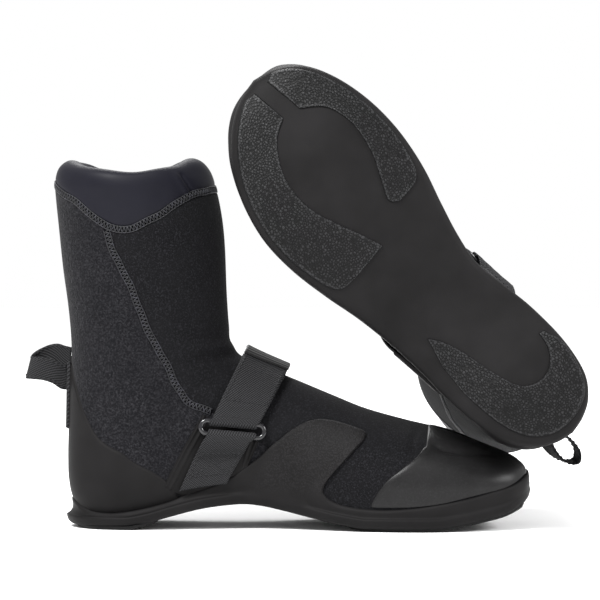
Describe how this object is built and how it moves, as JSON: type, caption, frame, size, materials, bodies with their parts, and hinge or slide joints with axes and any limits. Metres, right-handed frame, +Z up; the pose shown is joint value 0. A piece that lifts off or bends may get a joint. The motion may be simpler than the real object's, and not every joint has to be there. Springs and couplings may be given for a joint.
{
  "type": "neoprene boots",
  "caption": "Pair of high neoprene surf boots with rubber soles, one standing and one leaning on it with its tread shown, each with an instep strap through a ring and a heel pull loop.",
  "frame": {"origin": "bottom centre of the pair's bounding box, on the ground that the left boot stands on", "axes": "+Z up; the left boot's toe points along +X and its inner side faces -Y; the right boot leans with its sole towards -Y and its toe up"},
  "size_m": [0.3524, 0.234, 0.2886],
  "materials": {
    "jersey": "black stretch jersey on neoprene foam, matt, slightly fuzzy",
    "smooth_skin": "bare smooth-skin neoprene, bluish black, half matt",
    "rubber": "moulded black rubber, fine dotted grain, matt",
    "tread_rubber": "pebbled black rubber, dull sheen",
    "toe_rubber": "smooth black rubber, soft shine",
    "webbing": "woven black nylon webbing, ribbed",
    "hook_and_loop": "black hook and loop fastener, matt",
    "ring_plastic": "black moulded acetal, glossy",
    "thread": "black polyester seam thread",
    "footbed_foam": "dark grey foam, matt"
  },
  "bodies": {
    "left_boot": {"left_front_panel": "jersey", "left_rear_panel": "jersey", "left_cuff": "smooth_skin", "left_sock_bottom": "jersey", "left_footbed": "footbed_foam", "left_toe_divider": "jersey", "left_outsole": "rubber", "left_tread_heel": "tread_rubber", "left_tread_toe_inner": "tread_rubber", "left_tread_toe_outer": "tread_rubber", "left_heel_overlay": "rubber", "left_toe_cap": "toe_rubber", "left_anchor_base": "rubber", "left_cuff_seam_stitching": "thread", "left_seam_stitching_inner": "thread", "left_seam_stitching_outer": "thread", "left_strap": "webbing", "left_strap_anchor_outer": "rubber", "left_loop_patch": "hook_and_loop", "left_anchor_webbing": "webbing", "left_pull_loop_patch": "webbing"},
    "left_ring": {"left_ring": "ring_plastic"},
    "left_strap_flap": {"left_strap_flap": "webbing", "left_hook_patch": "hook_and_loop", "left_pull_tab": "toe_rubber"},
    "left_pull_loop": {"left_pull_loop": "webbing"},
    "right_boot": {"right_front_panel": "jersey", "right_rear_panel": "jersey", "right_cuff": "smooth_skin", "right_sock_bottom": "jersey", "right_footbed": "footbed_foam", "right_toe_divider": "jersey", "right_outsole": "rubber", "right_tread_heel": "tread_rubber", "right_tread_toe_inner": "tread_rubber", "right_tread_toe_outer": "tread_rubber", "right_heel_overlay": "rubber", "right_toe_cap": "toe_rubber", "right_anchor_base": "rubber", "right_cuff_seam_stitching": "thread", "right_seam_stitching_inner": "thread", "right_seam_stitching_outer": "thread", "right_strap": "webbing", "right_strap_anchor_outer": "rubber", "right_loop_patch": "hook_and_loop", "right_anchor_webbing": "webbing", "right_pull_loop_patch": "webbing"},
    "right_ring": {"right_ring": "ring_plastic"},
    "right_strap_flap": {"right_strap_flap": "webbing", "right_hook_patch": "hook_and_loop", "right_pull_tab": "toe_rubber"},
    "right_pull_loop": {"right_pull_loop": "webbing"}
  },
  "joints": [
    {"name": "left_ring_swing", "type": "hinge", "parent": "left_boot", "child": "left_ring", "pos_m": [-0.04535, -0.08277, 0.05872], "axis": [0.9933, 0.0706, -0.0919], "range_deg": [0, 20]},
    {"name": "left_flap_peel", "type": "hinge", "parent": "left_ring", "child": "left_strap_flap", "pos_m": [-0.0447, -0.08164, 0.06662], "axis": [0.9933, 0.0706, -0.0919], "range_deg": [0, 120]},
    {"name": "left_loop_flex", "type": "hinge", "parent": "left_boot", "child": "left_pull_loop", "pos_m": [-0.15067, -0.04323, 0.097], "axis": [0, 0, 1], "range_deg": [-20, 20], "stiffness_Nm_per_rad": 0.01},
    {"name": "right_ring_swing", "type": "hinge", "parent": "right_boot", "child": "right_ring", "pos_m": [0.11483, -0.05158, 0.16027], "axis": [0.7331, 0.0972, -0.6732], "range_deg": [0, 20]},
    {"name": "right_flap_peel", "type": "hinge", "parent": "right_ring", "child": "right_strap_flap", "pos_m": [0.11312, -0.0438, 0.15953], "axis": [0.7331, 0.0972, -0.6732], "range_deg": [0, 120]},
    {"name": "right_loop_flex", "type": "hinge", "parent": "right_boot", "child": "right_pull_loop", "pos_m": [0.1571, -0.01653, 0.05489], "axis": [-0.0566, 0.9969, -0.0543], "range_deg": [-20, 20], "stiffness_Nm_per_rad": 0.01},
    {"name": "right_boot_lift", "type": "slide", "parent": "left_boot", "child": "right_boot", "axis": [0, 0, 1], "range_m": [0, 0.3]}
  ]
}
